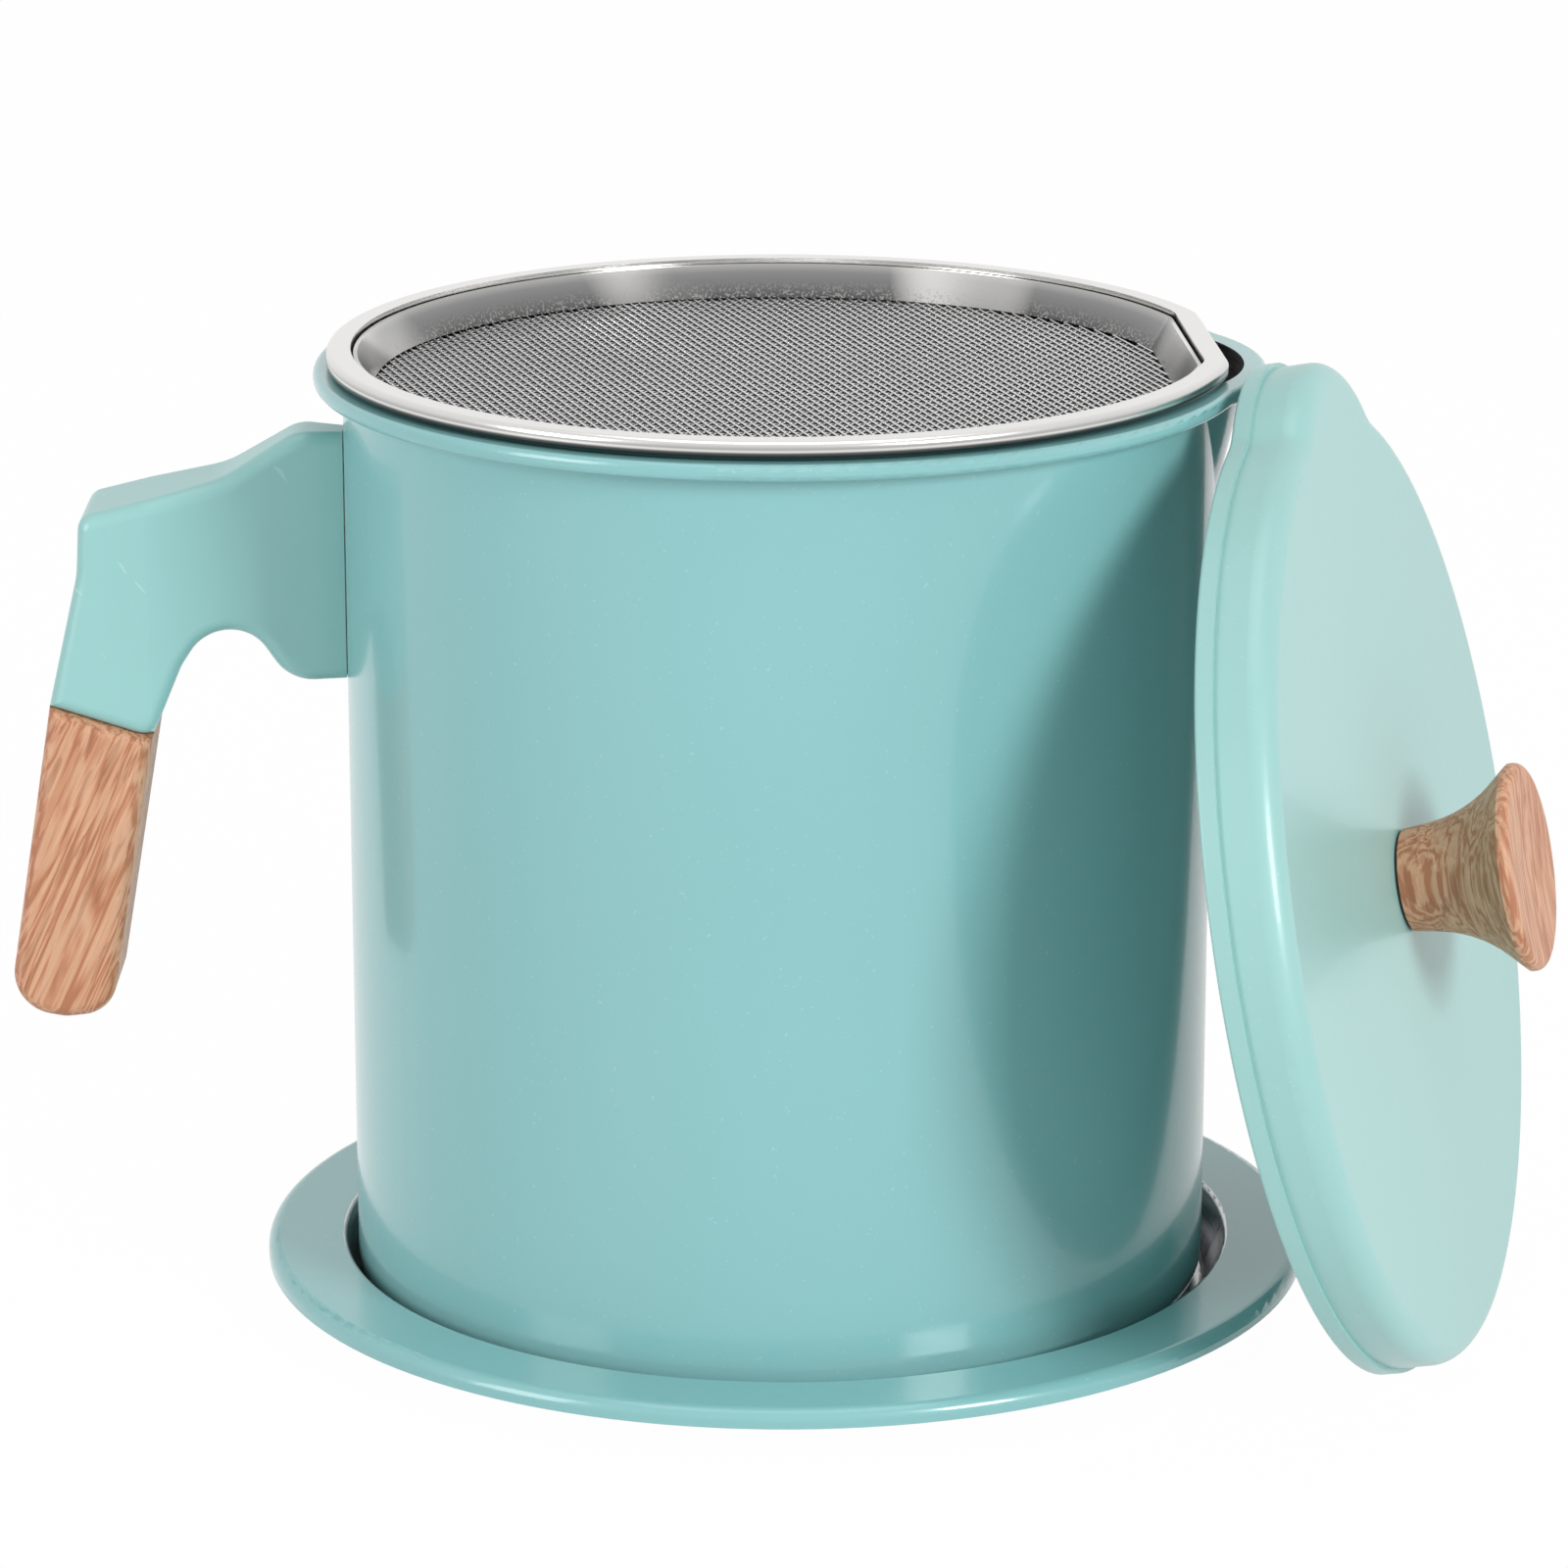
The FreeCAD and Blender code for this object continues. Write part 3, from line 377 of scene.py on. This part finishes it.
def bright_steel(name, colour, centre, roughness, grain, rolled=False):
    """Polished steel with fine lines round its axis, and, up a rolled ring's outside, painted reflection
    bands: painted dark bands and a painted highlight line.
    """
    finish = Finish(name)
    lines = finish.noise(finish.mapped(scale=(0.15, 0.15, 1.0), centre=centre), scale=grain, detail=2.0)
    cloud = finish.noise(finish.place(), scale=55.0, detail=3.0)
    speck = finish.noise(finish.place(), scale=2200.0, detail=1.0)
    base = finish.mix(cloud * 0.6 + speck * 0.4, toned(colour, 0.86), colour)
    if rolled:
        middle = centre + UP * ((RING_LOW.z + RING_HIGH.z) / 2)
        outside = finish.dot(finish.offset(middle), finish.normal()) > 0.0
        # painted reflection on the ring's outward side: dark bands and a highlight line put into the
        # steel's colour by height
        base = finish.mix(outside, base, finish.ramp(finish.rise(RING_LOW, RING_HIGH), RING_PAINTED_REFLECTION))
    return finish.surface(
        base_color=base,
        metallic=1.0,
        roughness=roughness + lines * 0.08 + cloud * 0.06,
        normal=finish.bump(lines * 0.6 + speck * 0.4, strength=0.05, distance=0.05 * MM))


def painted_reflection_steel(name, colour):
    """Steel with the net's reflection painted into its colour: painted shade and dark specks at the
    wall's foot, and painted highlights round it.
    """
    finish = Finish(name)
    rise = finish.rise(DISH_LOW, DISH_HIGH)
    speck = finish.noise(finish.place(), scale=2400.0, detail=1.0)
    patch = finish.noise(finish.mapped(scale=(1.0, 1.0, 0.1), centre=POT_AXIS), scale=34.0, detail=1.0)
    # painted highlights: pale areas round the wall that stand for reflected light
    painted_highlights = finish.ramp(patch, [(0.52, BLACK), (0.66, WHITE)])
    # painted dark specks near the wall's foot, standing for the net's reflection
    painted_dark_specks = (speck > 0.56) * finish.ramp(rise, [(0.0, WHITE), (0.6, BLACK)])
    base = finish.mix(painted_highlights, finish.ramp(rise, WALL_PAINTED_REFLECTION), colour)
    return finish.surface(
        base_color=finish.mix(painted_dark_specks, base, toned(colour, 0.5)),
        metallic=1.0,
        roughness=0.10 + speck * 0.10)


def dark_rubber(name):
    """Black rubber with a fine grain."""
    finish = Finish(name)
    grain = finish.noise(finish.place(), scale=1800.0, detail=2.0)
    return finish.surface(
        base_color=finish.ramp(grain, [(0.3, (0.015, 0.015, 0.016)), (0.8, (0.045, 0.045, 0.047))]),
        roughness=0.6 + grain * 0.2,
        normal=finish.bump(grain, strength=0.2, distance=0.05 * MM))


def dress(node, material):
    """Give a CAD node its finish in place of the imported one."""
    mesh = NODES[node].data
    mesh.materials.clear()
    mesh.materials.append(material)


def middle_of(node):
    """The middle of a CAD node's box."""
    low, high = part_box(node)
    return (low + high) / 2


class KeeperSizes(bpy.types.PropertyGroup):
    pitch: FloatProperty(
        name="Net pitch", description="From one of the strainer's wires to the next",
        default=1.3 * MM, unit="LENGTH", precision=5)
    wire: FloatProperty(
        name="Wire radius", description="Radius of one wire of the strainer",
        default=0.18 * MM, unit="LENGTH", precision=5)
    floor_radius: FloatProperty(
        name="Net radius", description="Radius of the net, the flat floor of the strainer's dish",
        default=60.3 * MM, unit="LENGTH", precision=4)
    floor_flat: FloatProperty(
        name="Net flat", description="From the axis to the net's straight side",
        default=58.0 * MM, unit="LENGTH", precision=4)
    floor_corner: FloatProperty(
        name="Net corner", description="Radius of the corners where the straight side ends",
        default=8.0 * MM, unit="LENGTH", precision=4)
    floor_height: FloatProperty(
        name="Net height", description="Height of the net over the table",
        default=140.85 * MM, unit="LENGTH", precision=4)


def colour_property(name, description, default):
    """A colour that a user can change."""
    return FloatVectorProperty(
        name=name, description=description, subtype="COLOR", default=default, min=0.0, max=1.0)


class KeeperColours(bpy.types.PropertyGroup):
    paint: colour_property("Paint", "Gloss paint of pot and tray", linear(132, 186, 187))
    lid_paint: colour_property("Lid paint", "The lid's paler satin paint", linear(151, 197, 193))
    plastic: colour_property("Arm", "Moulded arm of the handle", linear(147, 197, 194))
    wood_pale: colour_property("Pale wood", "Light bands of the grain", linear(207, 160, 128))
    wood_middle: colour_property("Middle wood", "Main colour of the grain", linear(196, 140, 106))
    wood_dark: colour_property("Dark wood", "Dark streaks of the grain", linear(174, 113, 80))
    steel: colour_property("Steel", "Polished steel of the strainer's ring", (0.74, 0.73, 0.71))
    # The two wire colours are painted light on one steel: a painted highlight on the high straight wires
    # and painted shade on the low crosswise ones
    highlit_straight_wire: colour_property("Straight wire", "The net's high wires", grey(0.80))
    shaded_crosswise_wire: colour_property("Crosswise wire", "The net's low wires", grey(0.32))


class KEEPER_OT_shells(bpy.types.Operator):
    """Paint the tray and the pot"""
    bl_idname = "keeper.shells"
    bl_label = "Tray and pot"

    def execute(self, context):
        paint = tuple(context.scene.keeper_colours.paint)
        tray_paint = painted_steel("tray_paint", paint, TRAY_RIM, UP, TRAY_INSIDE_ROUGHNESS, FULL_GLOSS)
        pot_paint = painted_steel("pot_paint", paint, POT_RIM, UP, POT_INSIDE_ROUGHNESS, FULL_GLOSS)
        dress("tray_dish", tray_paint)
        dress("pot_shell", pot_paint)
        return {"FINISHED"}


class KEEPER_OT_handle(bpy.types.Operator):
    """Finish the handle: moulded arm, wooden grip, bracket and screws"""
    bl_idname = "keeper.handle"
    bl_label = "Handle"

    def execute(self, context):
        colours = context.scene.keeper_colours
        dress("handle_arm", moulded_plastic("arm_plastic", tuple(colours.plastic)))
        dress("handle_grip", wood("grip_wood", colours, GRIP_GRAIN, middle_of("handle_grip")))
        colour = tuple(colours.steel)
        steel = bright_steel("fixing_steel", colour, POT_AXIS, FIXING_ROUGHNESS, FIXING_GRAIN)
        for node in ("handle_bracket", "handle_screw", "grip_screw"):
            dress(node, steel)
        return {"FINISHED"}


def net_margin(sizes, along, across):
    """How far inside the net's outline a point lies: a circle with a straight side and round corners."""
    corner_along = sizes.floor_flat - sizes.floor_corner
    corner_across = math.sqrt((sizes.floor_radius - sizes.floor_corner) ** 2 - corner_along ** 2)
    past_along = along - corner_along
    past_across = abs(across) - corner_across
    side = math.atan2(corner_across, corner_along)
    if min(past_along, past_across) > 0.0 and math.atan2(past_across, past_along) < side:
        return sizes.floor_corner - math.hypot(past_along, past_across)
    return min(sizes.floor_radius - math.hypot(along, across), sizes.floor_flat - along)


def wire_run(sizes, row, reach, crosswise):
    """The points of one wire inside the net's outline, half a pitch apart."""
    cosine, sine = math.cos(WEAVE_TURN), math.sin(WEAVE_TURN)
    run = []
    for half_step in range(-2 * reach, 2 * reach + 1):
        along, across = half_step * sizes.pitch / 2, row * sizes.pitch
        rise = STRAIGHT_RISE
        if not crosswise:
            along, across = across, along
        elif half_step % 2:
            rise = BETWEEN_RISE
        else:
            rise = CREST_RISE if (half_step // 2 + row) % 2 else DIP_RISE
        along, across = along * cosine - across * sine, along * sine + across * cosine
        if net_margin(sizes, along, across) > 0.0:
            run.append((along, across, sizes.floor_height + sizes.wire * rise))
    return run


def weave(name, sizes, crosswise):
    """One set of the net's wires: the straight ones, which lie high, or those that dip at every other."""
    reach = int(sizes.floor_radius / sizes.pitch) + 1
    curve = bpy.data.curves.new(name, "CURVE")
    curve.dimensions = "3D"
    curve.bevel_depth = sizes.wire
    curve.bevel_resolution = 0
    for row in range(-reach, reach + 1):
        run = wire_run(sizes, row, reach, crosswise)
        if len(run) > 2:
            spline = curve.splines.new("POLY")
            spline.points.add(len(run) - 1)
            for target, point in zip(spline.points, run):
                target.co = (*point, 1.0)
    carrier = bpy.data.objects.new(name + "_curve", curve)
    bpy.context.scene.collection.objects.link(carrier)
    mesh = bpy.data.meshes.new_from_object(carrier)
    bpy.data.objects.remove(carrier)
    mesh.transform(Matrix.Translation(POT_AXIS) @ Matrix.Rotation(STRAINER_TURN, 4, "Z"))
    mesh.shade_smooth()
    return mesh


def wall_band(name):
    """The leaning wall of the strainer's dish: the CAD dish copied without its floor and closed below."""
    shape = bmesh.new()
    shape.from_mesh(NODES["strainer_mesh"].data)
    bmesh.ops.remove_doubles(shape, verts=shape.verts, dist=MERGE)
    over_floor = DISH_LOW.z + FLOOR_SHEET
    floor = [face for face in shape.faces if max(vertex.co.z for vertex in face.verts) < over_floor]
    bmesh.ops.delete(shape, geom=floor, context="FACES")
    bmesh.ops.bridge_loops(shape, edges=[edge for edge in shape.edges if edge.is_boundary])
    bmesh.ops.recalc_face_normals(shape, faces=shape.faces)
    mesh = bpy.data.meshes.new(name)
    shape.to_mesh(mesh)
    shape.free()
    mesh.shade_smooth()
    mesh.set_sharp_from_angle(angle=SHARP)
    return mesh


class KEEPER_OT_strainer(bpy.types.Operator):
    """Finish the strainer's ring, weave its net and take its wall from the CAD dish"""
    bl_idname = "keeper.strainer"
    bl_label = "Strainer"

    def execute(self, context):
        colours = context.scene.keeper_colours
        sizes = context.scene.keeper_sizes

        def wire_steel(name, colour):
            return bright_steel(name, tuple(colour), POT_AXIS, WIRE_ROUGHNESS, WIRE_GRAIN)

        dress("strainer_rim", bright_steel("ring_steel", tuple(colours.steel), POT_AXIS, RING_ROUGHNESS,
                                           RING_GRAIN, rolled=True))
        pieces = (
            # painted shade on the crosswise wires and a painted highlight on the straight ones, though
            # both are the same steel
            (weave("strainer_warp", sizes, True), wire_steel("crosswise_shaded_steel", colours.shaded_crosswise_wire)),
            (weave("strainer_weft", sizes, False), wire_steel("straight_highlit_steel", colours.highlit_straight_wire)),
            (wall_band("strainer_wall"), painted_reflection_steel("wall_steel", tuple(colours.steel))),
        )
        for mesh, steel in pieces:
            mesh.materials.append(steel)
            piece = bpy.data.objects.new(mesh.name, mesh)
            context.scene.collection.objects.link(piece)
            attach(piece, "strainer")
            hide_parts("strainer_mesh")
        return {"FINISHED"}


class KEEPER_OT_lid(bpy.types.Operator):
    """Paint the lid and finish its knob"""
    bl_idname = "keeper.lid"
    bl_label = "Lid"

    def execute(self, context):
        colours = context.scene.keeper_colours

        def fixing_metal(name, colour):
            return bright_steel(name, tuple(colour), LID_LIP, FIXING_ROUGHNESS, FIXING_GRAIN)

        dress("lid_shell", painted_steel("lid_paint", tuple(colours.lid_paint), LID_LIP, -LID_OUT,
                                         POT_INSIDE_ROUGHNESS, LID_GLOSS, bare_inside=False))
        dress("lid_knob", wood("knob_wood", colours, KNOB_GRAIN, middle_of("lid_knob")))
        dress("knob_washer", dark_rubber("washer_rubber"))
        dress("knob_insert", fixing_metal("insert_brass", BRASS))
        dress("knob_screw", fixing_metal("knob_screw_steel", colours.steel))
        return {"FINISHED"}


def add_floor():
    """A floor that looks white to the camera and in mirrors, and is matt to the light."""
    bpy.ops.mesh.primitive_plane_add(size=FLOOR_SIZE, location=(0.0, 0.0, -FLOOR_DROP))
    floor = bpy.context.object
    floor.name = "floor"
    finish = Finish("floor_white")
    seen = (finish.ray("Is Camera Ray") | finish.ray("Is Glossy Ray")) * FLOOR_WHITENESS
    matt = finish.node("ShaderNodeBsdfDiffuse", {}, {"Color": (*FLOOR_MATT, 1.0)})
    white = finish.node("ShaderNodeEmission", {}, {"Color": (*WHITE, 1.0), "Strength": 1.0})
    shader = finish.node("ShaderNodeMixShader", {}, {0: seen, 1: matt, 2: white})
    finish.end_with("ShaderNodeOutputMaterial", shader)
    floor.data.materials.append(finish.material)


def add_surroundings(scene):
    """White surroundings that light the keeper dimly, but look bright to the camera and in mirrors."""
    world = bpy.data.worlds.new("studio")
    scene.world = world
    world.use_nodes = True
    studio = Nodes(world.node_tree)
    seen = studio.ray("Is Camera Ray") | studio.ray("Is Glossy Ray") | studio.ray("Is Transmission Ray")
    strength = seen * (1.0 - AMBIENT) + AMBIENT
    sky = studio.node("ShaderNodeBackground", {}, {"Color": (*WHITE, 1.0), "Strength": strength})
    studio.end_with("ShaderNodeOutputWorld", sky)


def add_lamp(scene, lamp):
    """A rectangular lamp that shines at the keeper."""
    light = bpy.data.lights.new(lamp.name, "AREA")
    light.shape = "RECTANGLE"
    light.size = lamp.width
    light.size_y = lamp.height
    light.energy = lamp.power
    holder = bpy.data.objects.new(lamp.name, light)
    scene.collection.objects.link(holder)
    holder.location = lamp.place
    holder.rotation_euler = (LAMP_TARGET - lamp.place).to_track_quat("-Z", "Y").to_euler()


def add_camera(scene):
    """The camera that was fitted to the photograph's outlines."""
    camera_data = bpy.data.cameras.new("camera")
    camera_data.lens = CAMERA_LENS
    camera_data.sensor_width = CAMERA_SENSOR
    camera_data.clip_start = CAMERA_NEAR
    camera = bpy.data.objects.new("camera", camera_data)
    camera.location = CAMERA_PLACE
    camera.rotation_euler = (math.pi / 2 - CAMERA_PITCH, 0.0, 0.0)
    scene.collection.objects.link(camera)
    scene.camera = camera


class KEEPER_OT_stage(bpy.types.Operator):
    """Set the floor, the white surroundings, the lamps and the camera"""
    bl_idname = "keeper.stage"
    bl_label = "Stage"

    def execute(self, context):
        scene = context.scene
        add_floor()
        add_surroundings(scene)
        for lamp in LAMPS:
            add_lamp(scene, lamp)
        add_camera(scene)
        scene.view_settings.view_transform = "Standard"
        return {"FINISHED"}


class KEEPER_PT_panel(bpy.types.Panel):
    bl_label = "Grease keeper"
    bl_idname = "KEEPER_PT_panel"
    bl_space_type = "VIEW_3D"
    bl_region_type = "UI"
    bl_category = "Keeper"

    def draw(self, context):
        for group in (context.scene.keeper_sizes, context.scene.keeper_colours):
            for name in group.__annotations__:
                self.layout.prop(group, name)
        for operator in OPERATORS:
            self.layout.operator(operator.bl_idname)


OPERATORS = (KEEPER_OT_shells, KEEPER_OT_handle, KEEPER_OT_strainer, KEEPER_OT_lid, KEEPER_OT_stage)
CLASSES = (KeeperSizes, KeeperColours, *OPERATORS, KEEPER_PT_panel)


def register():
    for item in CLASSES:
        bpy.utils.register_class(item)
    bpy.types.Scene.keeper_sizes = PointerProperty(type=KeeperSizes)
    bpy.types.Scene.keeper_colours = PointerProperty(type=KeeperColours)


def unregister():
    del bpy.types.Scene.keeper_colours
    del bpy.types.Scene.keeper_sizes
    for item in reversed(CLASSES):
        bpy.utils.unregister_class(item)


def main():
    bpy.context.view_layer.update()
    register()
    bpy.ops.keeper.shells()
    bpy.ops.keeper.handle()
    bpy.ops.keeper.strainer()
    bpy.ops.keeper.lid()
    bpy.ops.keeper.stage()


if __name__ == "__main__":
    main()
